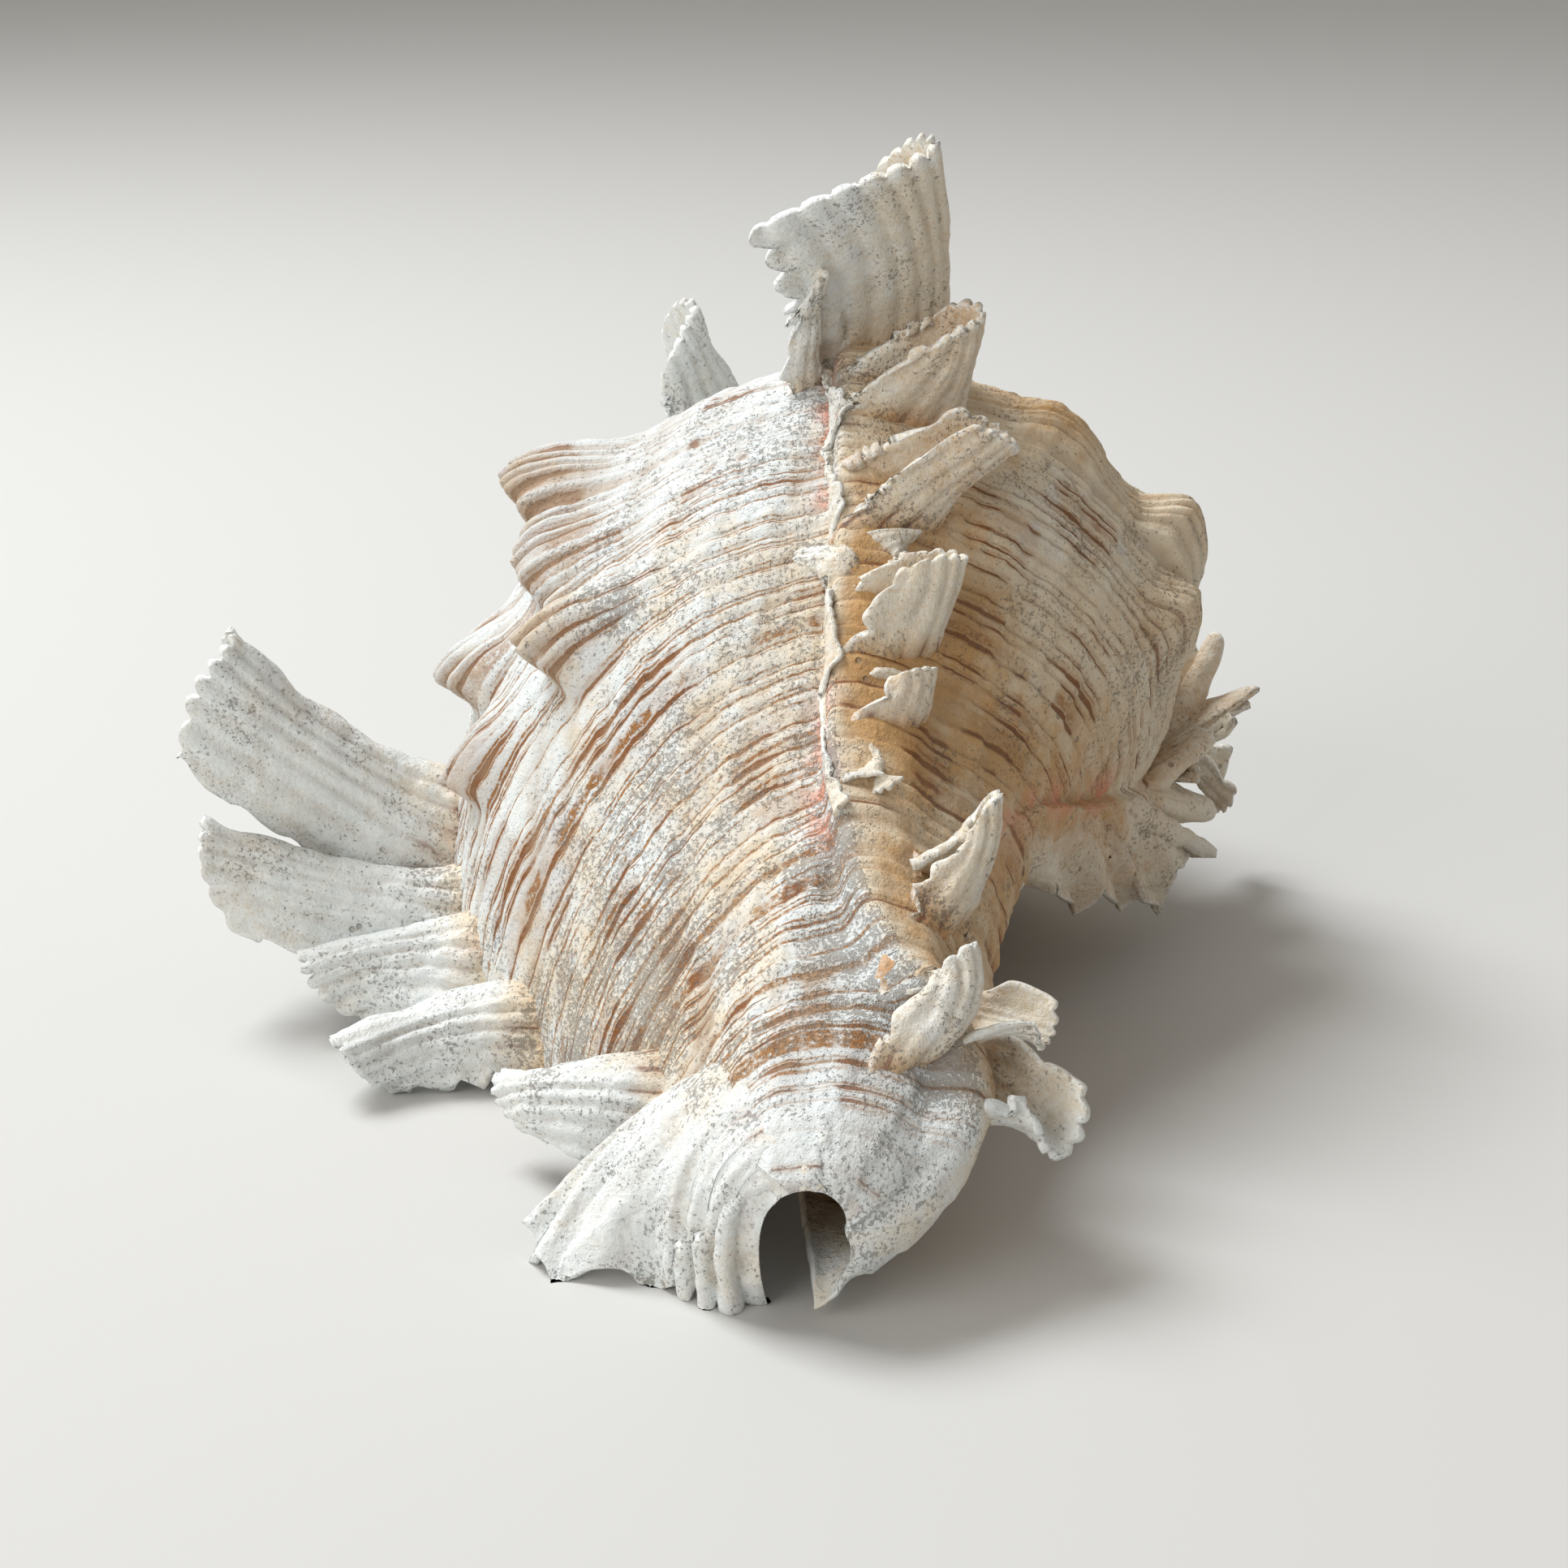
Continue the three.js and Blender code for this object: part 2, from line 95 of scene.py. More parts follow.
# Each frond is a leaf that is folded along its back and open in front:
# (turn and reach of its back's root, turn, distance from the apex and radius of its tip, rise of its back,
#  half width at the root and the tip, depth of its fold at the root and the tip, ribs, back wing's share,
#  how far its margins curl in)
LIP_FRONDS = [
    (112, 60, 121, 56, 73, 10, 7, 5, 5, 6, 5, 1, 0.1),
    (110, 68, 112, 68, 75, 6, 6, 5, 6, 6, 5, 1, 0.1),
    (94, 80, 76, 82, 83, 14, 8.5, 6.5, 18, 15, 6, 0.75, 0.1),
    (102, 91, 91, 93, 85, 14, 7, 5, 14, 10, 5, 0.75, 0.1),
    (104, 99, 102.5, 102, 74, 9, 7, 5, 11, 10, 5, 0.75, 0.1),
    (108, 112, 102.5, 121, 65, 10, 6.5, 4.5, 8, 7, 5, 0.8, 0.1),
    (97, 140, 103, 132.5, 43, 12, 7.5, 4.5, 8.5, 6.5, 5, 0.8, 0.1),
]
MIDDLE_FRONDS = [
    (-9, 58, -5.5, 60, 78, 14, 7, 7.5, 15, 23, 7, 0.5, 0.1),
    (10, 68, 6, 62, 62.4, 3, 3, 1.8, 4, 2.5, 3, 1, 0.1),
    (-13, 78, -12.5, 69, 61, 6, 5, 4.4, 12.5, 6.5, 4, 1, 0.35),
    (-12, 96, -21, 78, 49.5, 4, 5, 3.8, 10.5, 6.5, 5, 1, 0.35),
    (0, 106, 16, 86, 37, 2.5, 2.4, 1.8, 3, 2.2, 2, 1, 0.5),
    (-5.5, 105, -7, 86, 36.5, 2, 2.6, 2, 4, 3, 3, 1, 0.1),
    (-16, 112, -17, 92, 40.5, 4, 4, 3.6, 9, 6.5, 4, 1, 0.35),
    (-17, 121, -16, 102, 30.5, 3, 3.4, 3, 6.5, 4.5, 4, 1, 0.35),
    (-7, 128, -5, 119, 22.5, 1.2, 2.8, 2.4, 3, 2.5, 3, 1, 0.1),
    (-44, 141, -30, 127, 32.5, 8, 4.6, 2.6, 7, 3.6, 3, 1, 0.7),
    (-46, 153, -35, 144, 24.5, 5, 5, 3, 9, 5, 3, 1, 0.6),
    (-60, 151, -69, 147, 23, 4, 3.5, 3, 5, 4, 4, 1, 0.1),
    (-88, 153, -91, 154, 24, 4, 5, 4.6, 6, 5.5, 3, 1, 0.1),
]
RIGHT_FRONDS = [
    (-116, 58, -122, 38, 57.5, 8, 5, 3, 9, 4, 4, 1, 0.1),
]
# The pleated skirt along the right varix, pleat by pleat: turn and reach of its base, and turn, distance from
# the apex and radius of its tip
SKIRT = [
    ((-113, 63), (-92.7, 36, 44.5)), ((-112, 69), (-92.2, 40, 47.5)), ((-111, 75), (-99.2, 45, 52.9)),
    ((-110, 80), (-101.2, 50, 50.2)), ((-109.5, 85), (-102.2, 54, 45.9)), ((-108, 92), (-113.5, 57, 49.5)),
    ((-105, 98), (-118.4, 61, 51.9)), ((-101, 106), (-126.9, 68, 50.2)), ((-95, 112), (-125.7, 75, 42.6)),
    ((-86, 119), (-124.2, 84, 33.8)), ((-74, 126), (-109.7, 95, 22.4)), ((-60, 131), (-90.3, 104, 17.2)),
]
SKIRT_VALLEY = 0.74  # how far the sheet reaches between two pleats, against the pleats
SPIRE_FRONDS = [
    (-325, 58, -332, 40, 53.5, 8, 8, 5, 13, 7, 5, 1, 0.1),
    (-235, 60, -240, 32, 41.5, 4, 5, 4, 6, 5, 4, 1, 0.1),
    (-452, 60, -456, 20, 26.5, 3, 4, 3, 5, 4, 4, 1, 0.1),
]

# The fan beside the canal's end, place by place from its rear: turn and reach of its base on the wall, and
# turn, distance from the apex and radius of its margin
FAN = [
    ((80, 148.5), (109.4, 155.5, 37)), ((68, 150), (113.6, 161.5, 33.5)), ((55, 154), (121, 162.4, 26)),
    ((42, 159), (129, 164, 20.5)), ((24, 164), (137, 166.6, 17)), ((5, 167.7), (150, 165.4, 14.7)),
]

GROWTH = math.log(GROWTH_PER_TURN) / 360
AXIS = np.array([0, math.cos(math.radians(AXIS_TILT)), math.sin(math.radians(AXIS_TILT))])
RIGHT = np.array([1.0, 0, 0])
UP = np.cross(RIGHT, AXIS)
APEX = np.array([-CENTRE[0], -CENTRE[1], CANAL_HEIGHT]) + LENGTH * AXIS


def smooth(x):
    t = np.clip(x, 0, 1)
    return t * t * (3 - 2 * t)


def fade(x, first, last):
    """0 up to the first value, 1 from the last one on, and smooth between them."""
    return smooth((x - first) / (last - first))


def curve(points, x):
    """The height at x of the smooth curve through points (x, y), level past its ends."""
    xs, ys = np.array(points, float).T
    low = np.maximum(np.arange(len(xs)) - 1, 0)
    high = np.minimum(np.arange(len(xs)) + 1, len(xs) - 1)
    slopes = (ys[high] - ys[low]) / (xs[high] - xs[low])
    x = np.asarray(x, float)
    i = np.clip(np.searchsorted(xs, x, side="right") - 1, 0, len(xs) - 2)
    run = xs[i + 1] - xs[i]
    t = np.clip((x - xs[i]) / run, 0, 1)
    bow = run * t * (1 - t) * ((1 - t) * slopes[i] - t * slopes[i + 1])
    return ys[i] + (ys[i + 1] - ys[i]) * smooth(t) + bow


def unit(v):
    return v / np.maximum(np.linalg.norm(v, axis=-1, keepdims=True), 1e-9)


def normals(points):
    return unit(np.cross(np.gradient(points, axis=0), np.gradient(points, axis=1)))


def outward(turn):
    """The direction away from the coiling axis at a turn."""
    angle = np.radians(turn)[..., None]
    return -np.sin(angle) * RIGHT + np.cos(angle) * UP


def place(turn, distance, radius):
    """The point at a turn, distance from the apex along the axis, and radius from the axis."""
    turn, distance, radius = np.broadcast_arrays(*(np.asarray(v, float) for v in (turn, distance, radius)))
    return APEX - distance[..., None] * AXIS + radius[..., None] * outward(turn)


def growth(turn, reach):
    """The size of the spiral at a point, against its size at the lip."""
    spiral = 1 - fade(reach, CANAL_REACH, LENGTH)
    return np.exp(GROWTH * (turn - LIP_TURN) * spiral)


def ridge(arc, back, front):
    """A ridge's height, 1 on its crest, at arc mm in front of it; behind it arc is negative."""
    return np.exp(-((arc / np.where(arc < 0, back, front)) ** 2))


def wall_radius(turn, reach):
    turn, reach = np.broadcast_arrays(np.asarray(turn, float), np.asarray(reach, float))
    size = growth(turn, reach)
    plain = size * curve(PROFILE, reach)
    flared = np.clip((turn - FLARE_FROM) / (LIP_TURN - FLARE_FROM), 0, 1) ** FLARE_POWER
    radius = plain + flared * curve(FLARE, reach)
    height = VARIX_HEIGHT * size
    runs_out = height * (1 - fade(reach, *RIGHT_VARIX_ENDS))
    crests = [(curve(MIDDLE_VARIX, reach), height), (curve(RIGHT_VARIX, reach), runs_out)]
    crests += [(spire_turn, height) for spire_turn in SPIRE_VARICES]
    for crest, high in crests:
        arc = np.radians(turn - crest) * plain
        radius = radius + high * ridge(arc, VARIX_BACK * size, VARIX_FRONT * size)
    for crest, at, height, back, front, half in FOLDS:
        arc = np.radians(turn - crest) * plain
        radius = radius + height * ridge(arc, back, front) * np.exp(-(abs((reach - at) / half) ** FOLD_POWER))
    closing = np.sqrt(1 - np.clip((reach - CLOSES_FROM) / (LENGTH - CLOSES_FROM), 0, 1) ** 2)
    edge = curve(CANAL_END, turn)
    return np.where(reach > CLOSES_FROM, edge + (radius - edge) * closing, radius)


def lean(turn, reach):
    """How far in mm the crests of the varices and folds hang over in front, at a point."""
    plain = growth(turn, reach) * curve(PROFILE, reach)
    total = np.zeros(np.broadcast(turn, reach).shape)
    for crest in (curve(MIDDLE_VARIX, reach), curve(RIGHT_VARIX, reach)):
        arc = np.radians(turn - crest) * plain
        hang = VARIX_LEAN * ridge(arc - 0.5, VARIX_LEAN_BACK, VARIX_FRONT)
        total = total + hang * (1 - fade(reach, *VARIX_LEAN_ENDS))
    for crest, at, height, back, front, half in FOLDS:
        arc = np.radians(turn - crest) * plain
        hang = FOLD_LEAN * height * ridge(arc, FOLD_LEAN_BACK, front)
        total = total + hang * np.exp(-(((reach - at) / half) ** 2))
    return total


def wall(turn, reach, lift=0.0):
    """Points of the spiral wall, lift mm above it."""
    turn, reach = np.broadcast_arrays(np.asarray(turn, float), np.asarray(reach, float))
    radius = wall_radius(turn, reach)
    return place(turn + np.degrees(lean(turn, reach) / radius), growth(turn, reach) * reach, radius + lift)


HASH_MULTIPLIER = 73856093
HASH_OF_AXES = (19349663, 83492791, 2971215073)
HASH_RANGE = 2147483647
SEED_STEP = 7919
SEED_SHIFT = 17.3
LAST_MULTIPLIER = 1103515245
LAST_STEP = 12345


def noise(points, size, seed=0):
    """Smooth noise between -1 and 1 at points, with lumps of about the given size."""
    p = np.asarray(points, float) / size + seed * SEED_SHIFT
    cell = np.floor(p).astype(np.int64)
    f = smooth(p - cell)
    total = np.zeros(p.shape[:-1])
    for corner in np.ndindex(*(2,) * p.shape[-1]):
        key = np.zeros(p.shape[:-1], np.int64) + seed * SEED_STEP
        weight = np.ones(p.shape[:-1])
        for k, side in enumerate(corner):
            key = (key * HASH_MULTIPLIER + (cell[..., k] + side) * HASH_OF_AXES[k]) % HASH_RANGE
            weight = weight * (f[..., k] if side else 1 - f[..., k])
        drawn = (key * LAST_MULTIPLIER + LAST_STEP) % HASH_RANGE
        total += weight * (2 * drawn / HASH_RANGE - 1)
    return total


# Spiral cords: one groove at each whole number of the cord coordinate
CORD = 2.3  # mm of reach from groove to groove, on average
CORD_WANDER = 0.35  # mm that the grooves stray to either side
GROOVE_DEPTH = 0.34
CORD_HEIGHT = 0.12
THREAD_DEPTHS = (0.16, 0.12)  # of the two fine grooves on each cord


def on_wall(turn, reach):
    """Points of the wall rolled out flat, in mm round the whorl and along the reach."""
    return np.stack([np.radians(turn) * curve(PROFILE, reach), reach], -1)


def cord(here):
    """The cord coordinate at points of the rolled-out wall. The cords are unevenly wide."""
    reach = here[..., 1] + CORD_WANDER * noise(here, 14, 3)
    return reach / CORD + 0.3 * np.sin(reach * 0.71) + 0.17 * np.sin(reach * 1.93)


def groove(x, width):
    """1 at whole numbers of x, falling to 0 over the width."""
    return np.exp(-(((x - np.round(x)) / width) ** 2))


def steepness(turn, reach):
    """How strongly the front of a fold stands up at a point: its cords are strongest there."""
    total = np.zeros(np.broadcast(turn, reach).shape)
    for crest, at, height, back, front, half in FOLDS:
        arc = np.radians(turn - crest) * growth(turn, reach) * curve(PROFILE, reach)
        along = np.exp(-(((reach - at) / half / 1.2) ** 2))
        total += height / 8 * ridge(arc - 1, back * 0.8, front * 1.6) * along
    return np.clip(total, 0, 1.3)


def relief(turn, reach):
    """The wall's fine relief in mm: broad cords with narrow grooves, fine threads and growth lines."""
    here = on_wall(turn, reach)
    u = cord(here)
    strong = 0.75 + 0.4 * noise(here, 22, 5) + 1.7 * steepness(turn, reach)
    out = -GROOVE_DEPTH * strong * groove(u, 0.1 + 0.1 * steepness(turn, reach))
    out += CORD_HEIGHT * strong * np.cos(2 * np.pi * (u - 0.5))
    first_depth, second_depth = THREAD_DEPTHS
    out -= first_depth * strong * groove(u + 0.28, 0.07) + second_depth * groove(u - 0.27, 0.06)
    growth_lines = 0.17 * noise(here * (1, 0.4), 1.6, 11)
    out += 0.25 * noise(here, 7, 9) + growth_lines + 0.1 * noise(here, 0.8, 13)
    lumps_on_neck = 0.45 * fade(reach, 124, 142) * noise(here, 3.2, 15)
    return out + lumps_on_neck


def set_attribute(mesh, name, values):
    attribute = mesh.attributes.new(name, "FLOAT", "POINT")
    attribute.data.foreach_set("value", values.astype(np.float32))


RESTS_AT = 0.05  # mm: what would sink under the resting surface is worn flat there


def make_piece(name, points, quads, marks, material):
    """A smooth mesh in metres from points in mm. marks is {attribute name: value for each point}."""
    mesh = bpy.data.meshes.new(name)
    points = np.stack([points[:, 0], points[:, 1], np.maximum(points[:, 2], RESTS_AT)], -1)
    mesh.from_pydata((points * MM).tolist(), [], quads.tolist())
    mesh.validate()
    for key, values in marks.items():
        set_attribute(mesh, key, values)
    mesh.polygons.foreach_set("use_smooth", np.ones(len(mesh.polygons), bool))
    mesh.materials.append(material)
    piece = bpy.data.objects.new(name, mesh)
    bpy.context.scene.collection.objects.link(piece)
    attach(piece, "root")
    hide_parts("murex_shell")
    return piece


def grid_quads(rows, columns, start=0, flip=False):
    i, j = np.meshgrid(np.arange(rows - 1), np.arange(columns - 1), indexing="ij")
    a = (start + i * columns + j).ravel()
    quads = np.stack([a, a + columns, a + columns + 1, a + 1], -1)
    return quads[:, ::-1] if flip else quads


# The material
MIX_INPUTS = (0, 6, 7)  # the sockets of a colour mix for its share and its two colours
MIX_OUTPUT = 2


class Graph:
    """Short names for the node kinds that the materials use."""

    def __init__(self, name):
        self.material = bpy.data.materials.new(name)
        self.material.use_nodes = True
        self.tree = self.material.node_tree
        self.shader = self.tree.nodes["Principled BSDF"]

    def put(self, socket, value):
        if isinstance(value, bpy.types.NodeSocket):
            self.tree.links.new(value, socket)
        elif isinstance(value, tuple) and len(value) == 3 and socket.type == "RGBA":
            socket.default_value = (*value, 1)
        else:
            socket.default_value = value

    def node(self, kind, inputs, output=0, **settings):
        node = self.tree.nodes.new(kind)
        for key, value in settings.items():
            setattr(node, key, value)
        for key, value in inputs.items():
            self.put(node.inputs[key], value)
        return node.outputs[output]

    def attribute(self, name):
        return self.node("ShaderNodeAttribute", {}, "Fac", attribute_name=name)

    def math(self, operation, a, b=0.0):
        return self.node("ShaderNodeMath", {0: a, 1: b}, operation=operation)

    def add(self, *values):
        total = values[0]
        for value in values[1:]:
            total = self.math("ADD", total, value)
        return total

    def times(self, *values):
        total = values[0]
        for value in values[1:]:
            total = self.math("MULTIPLY", total, value)
        return total

    def step(self, value, low, high):
        """0 below low and 1 above high, or the other way round where low is the larger."""
        falls = low > high
        inputs = {
            "Value": value,
            "From Min": min(low, high),
            "From Max": max(low, high),
            "To Min": 1.0 if falls else 0.0,
            "To Max": 0.0 if falls else 1.0,
        }
        return self.node("ShaderNodeMapRange", inputs, interpolation_type="SMOOTHSTEP")

    def vector(self, x, y):
        return self.node("ShaderNodeCombineXYZ", {0: x, 1: y})

    def noise(self, place, scale, detail=2.0, roughness=0.55):
        inputs = {"Vector": place, "Scale": scale, "Detail": detail, "Roughness": roughness}
        return self.node("ShaderNodeTexNoise", inputs)

    def cells(self, place, scale):
        return self.node("ShaderNodeTexVoronoi", {"Vector": place, "Scale": scale})

    def mix(self, share, a, b):
        node = self.tree.nodes.new("ShaderNodeMix")
        node.data_type = "RGBA"
        for key, value in zip(MIX_INPUTS, (share, a, b)):
            self.put(node.inputs[key], value)
        return node.outputs[MIX_OUTPUT]


CHALK = (0.73, 0.77, 0.78)
CREAM = (0.72, 0.62, 0.47)
OCHRE = (0.56, 0.34, 0.15)
TAN = (0.34, 0.155, 0.045)
BROWN = (0.20, 0.07, 0.018)
STAIN = (0.70, 0.27, 0.16)
DIRT = (0.20, 0.175, 0.15)
# The next colour is painted shade, laid into the grooves of the relief and the valleys between ribs
GROOVE_SHADE = (0.37, 0.27, 0.18)
BLEACHED = (0.86, 0.89, 0.88)


def shell_material():
    g = Graph("shell")
    place_m = g.node("ShaderNodeTexCoord", {}, "Object")
    cord_at = g.attribute("cord")
    arc = g.attribute("arc")
    warm, dirt, stain, edge, steep, deep, lined = (
        g.attribute(key) for key in ("warm", "dirt", "stain", "edge", "steep", "deep", "lined")
    )
    # The cords, counted by their grooves, and noise that runs along them
    wobble = g.times(g.add(g.noise(place_m, 900), -0.5), 0.1)
    along = g.add(cord_at, wobble)
    index = g.math("ROUND", along)
    off = g.math("ABSOLUTE", g.math("SUBTRACT", along, index))
    dash_at = g.vector(g.times(arc, 0.1), g.times(index, 5.37))
    dash = g.noise(dash_at, 1.0, 3.0)
    patch = g.noise(g.vector(g.times(arc, 0.085), g.times(cord_at, 0.3)), 1.0, 2.0)
    grain = g.noise(place_m, 1500, 3.0, 0.7)
    # Tan lines in the grooves, and broad brown ones in patches
    width = g.add(0.075, g.times(dash, 0.06), g.times(steep, 0.12))
    main = g.times(g.step(g.math("SUBTRACT", off, width), 0.0, -0.06), g.step(dash, 0.33, 0.44))
    side = g.times(g.step(g.math("ABSOLUTE", g.add(off, -0.28)), 0.07, 0.02), g.step(dash, 0.45, 0.56))
    lines = g.times(g.math("MAXIMUM", main, side), lined)
    patches = g.add(g.times(patch, 1.2), g.times(dash, 0.5), g.times(steep, 0.55), g.times(warm, 0.08))
    strong = g.times(g.step(patches, 0.92, 1.02), g.step(lined, 0.1, 0.2))
    # The ground, from chalk over cream to ochre, and the lines, stains and bleached edges on it, with painted
    # shade in the grooves
    cloud = g.add(g.noise(place_m, 90, 3.0), -0.5)
    mottle = g.add(g.noise(place_m, 380, 4.0, 0.65), -0.5)
    tone = g.add(warm, g.times(cloud, 1.1), g.times(mottle, 1.0))
    colour = g.mix(g.step(tone, 0.0, 0.75), CHALK, CREAM)
    colour = g.mix(g.step(tone, 0.65, 1.45), colour, OCHRE)
    colour = g.mix(g.times(lines, g.step(grain, 0.3, 0.55), 0.95), colour, TAN)
    colour = g.mix(g.times(strong, g.step(off, 0.5, 0.1), g.step(grain, 0.25, 0.55), 0.4), colour, TAN)
    colour = g.mix(g.times(strong, g.math("MAXIMUM", main, g.times(steep, 0.3)), 0.85), colour, BROWN)
    colour = g.mix(g.times(stain, g.step(g.noise(place_m, 260, 3.0), 0.4, 0.6), 0.85), colour, STAIN)
    # Painted shade: darker where the relief sinks into grooves and rib valleys
    colour = g.mix(g.times(deep, 0.6), colour, GROOVE_SHADE)
    colour = g.mix(g.times(edge, g.step(grain, 0.3, 0.6), 0.75), colour, BLEACHED)
    # Dark grit and pits
    clusters = g.add(g.noise(place_m, 150, 2.0), -0.5)
    speck = g.add(g.noise(place_m, 1900, 2.0, 0.75), g.times(dirt, 0.12), g.times(clusters, 0.45))
    colour = g.mix(g.times(g.step(speck, 0.62, 0.74), 0.62), colour, DIRT)
    pits = g.times(g.step(g.cells(place_m, 330), 0.16, 0.08), g.step(g.noise(place_m, 120), 0.58, 0.64))
    colour = g.mix(g.times(pits, 0.5), colour, DIRT)
    height = g.add(g.times(grain, 0.6), g.times(g.step(speck, 0.75, 0.6), 0.4), g.times(pits, -0.8), mottle)
    bump = g.node("ShaderNodeBump", {"Height": height, "Strength": 0.8, "Distance": 0.0005})
    g.put(g.shader.inputs["Base Color"], colour)
    g.put(g.shader.inputs["Normal"], bump)
    g.shader.inputs["Roughness"].default_value = 0.7
    g.shader.inputs["Specular IOR Level"].default_value = 0.35
    return g.material


SHELL = shell_material()


# Where brown dashes stand in groups: [turn, reach], and how many degrees and mm each group spreads
DASHES = [
    (-46, 117.6), (-59.5, 107.6), (-22, 126.4), (-25, 109.6), (-25, 93.6), (-40, 84), (62.5, 109), (84, 110),
    (101, 86), (92, 103), (94.5, 111), (81, 124), (72.5, 133), (83, 93.6), (32, 123), (48.5, 108.4),
    (-8.5, 156.8), (11.5, 151.6), (26.5, 154.8), (71, 143.6), (102, 132.8),
]
DASH_SPREAD = (7, 4)
GRITTY = (47, 96)  # [turn, reach] of the spot with the most grit
GRITTY_SPREAD = (4, 3.5)

# The whorls
LIP_LINE = [(40, 118), (148, 118), (156, 96), (162, 66), (168, 40)]  # where the wall ends: [reach, turn]
# Where the wall below the shell and the canal's wall begin: [reach, turn]
UNDER_LINE = [(40, -330), (108, -330), (118, -238), (130, -228), (149, -212)]
CANAL_LINE = [(148, -212), (158, -200), (168, -190)]
CANAL_FROM = 148.5  # reach
CANAL_WALL = 1.7
APEX_BLUNT = 4.7  # mm that the spire's tip stops short of the spiral's own apex


def seam_distance(turn, reach, line):
    """mm round the whorl from a varix's line to a point, positive in front of it."""
    return np.radians(turn - curve(line, reach)) * growth(turn, reach) * curve(PROFILE, reach)


def spot(turn, reach, at, spread):
    """1 at a place on the wall, falling steeply to 0 past its spread in degrees and mm."""
    return np.exp(-(((turn - at[0]) / spread[0]) ** 4) - ((reach - at[1]) / spread[1]) ** 4)


def wall_marks(turn, reach):
    """The marks that the material reads, at points of the wall."""
    here = on_wall(turn, reach)
    middle = seam_distance(turn, reach, MIDDLE_VARIX)
    right = seam_distance(turn, reach, RIGHT_VARIX)
    front_of_middle = np.exp(-(((middle - 3) / 2.4) ** 2))
    front_of_right = np.exp(-(((right - 3) / 4) ** 2))
    neck = fade(reach, 104, 126)
    canal = fade(reach, 154, 164)
    behind = smooth(0.5 - middle / 4) * (0.25 + 0.75 * fade(turn, -270, -170))
    dashes = sum(spot(turn, reach, at, DASH_SPREAD) for at in DASHES)
    dashes = np.minimum(dashes, 1)
    # Warmer towards the neck, beside the lip, behind the middle varix and on the fronts of the folds
    warm = 0.14 * fade(reach, 78, 103) + 0.2 * fade(turn, 60, 110) * (middle > 0)
    warm = warm + behind * (0.75 + 0.35 * fade(reach, 92, 114)) + 0.05 * neck
    warm = (warm + 0.3 * noise(here, 24, 21) + 0.45 * steepness(turn, reach)) * (1 - 0.75 * canal)
    # Grit on the neck, in front of the middle varix, along the lip and on one spot
    dirt = 0.1 + 0.85 * neck * (middle > 0) * (1 - 0.7 * canal) + 0.5 * noise(here, 15, 23)
    dirt = dirt + 0.8 * np.exp(-((np.maximum(middle, 0) / 7) ** 2)) * (middle > 0) * (1 - canal)
    dirt = dirt + 0.4 * fade(turn, 96, 114) * (1 - canal)
    dirt = dirt + 1.6 * spot(turn, reach, GRITTY, GRITTY_SPREAD)
    of_middle = front_of_middle * smooth(0.45 + 1.6 * noise(here, 5, 25)) * (1 - fade(reach, 130, 138))
    of_right = front_of_right * smooth(0.8 + noise(here, 9, 27)) * (reach > 84)
    of_right = of_right * (1 - fade(reach, 128, 136))
    lined = (0.25 + 0.75 * fade(reach, 74, 94)) * (1 - 0.8 * behind) * (1 - 0.8 * canal)
    return {
        "cord": cord(here),
        "arc": here[..., 0],
        "warm": np.clip(warm, 0, 1.5),
        "dirt": np.clip(dirt, 0, 1.6),
        "stain": np.clip(np.maximum(of_middle, of_right), 0, 1),
        "edge": 0.3 * canal,
        "steep": steepness(turn, reach) + 0.7 * dashes,
        # Where the relief sinks in, for the painted shade in the grooves
        "deep": np.clip(-relief(turn, reach) / 0.6, 0, 1) * (1 - 0.7 * canal) * (1 - 0.45 * behind),
        "lined": lined + 0.7 * dashes,
    }


def flat(marks):
    return {key: value.ravel() for key, value in marks.items()}


def between(lines, columns, reaches):
    """A grid of turns and reaches: its columns run from one line of [reach, turn] to another."""
    first, last = (curve(line, reaches)[None, :] for line in lines)
    share = np.linspace(0, 1, columns)[:, None]
    return first + (last - first) * share, reaches[None, :] + 0 * share


def shifted(line, degrees):
    return [(reach, turn + degrees) for reach, turn in line]


EDGE_DROP = 6.0
SPIRE_RELIEF = 0.6  # against that of the body whorl


def wall_piece(name, lines, columns, reaches, depth=1.0, drop=EDGE_DROP):
    """A stretch of wall with its relief times depth. Its edge on the whorl above turns in by drop mm, so that
    no slot shows there."""
    turn, reach = between(lines, columns, reaches)
    lift = depth * relief(turn, reach)
    lift[:, 0] -= drop
    points = wall(turn, reach, lift)
    quads = grid_quads(*turn.shape, flip=True)
    return make_piece(name, points.reshape(-1, 3), quads, flat(wall_marks(turn, reach)), SHELL)


def apex(first_turn):
    """The blunt tip of the spire, inside its first whorl."""
    turns = np.linspace(first_turn, first_turn + 360, 91)
    turn, share = np.meshgrid(turns, np.linspace(0, 1, 16), indexing="ij")
    reach = np.full(turn.shape, float(FIRST_REACH))
    rim = growth(turn, reach) * reach
    distance = rim + (APEX_BLUNT - rim) * np.sin(np.pi / 2 * share)
    points = place(turn, distance, wall_radius(turn, reach) * np.cos(np.pi / 2 * share))
    quads = grid_quads(*turn.shape)
    return make_piece("apex", points.reshape(-1, 3), quads, flat(wall_marks(turn, reach)), SHELL)


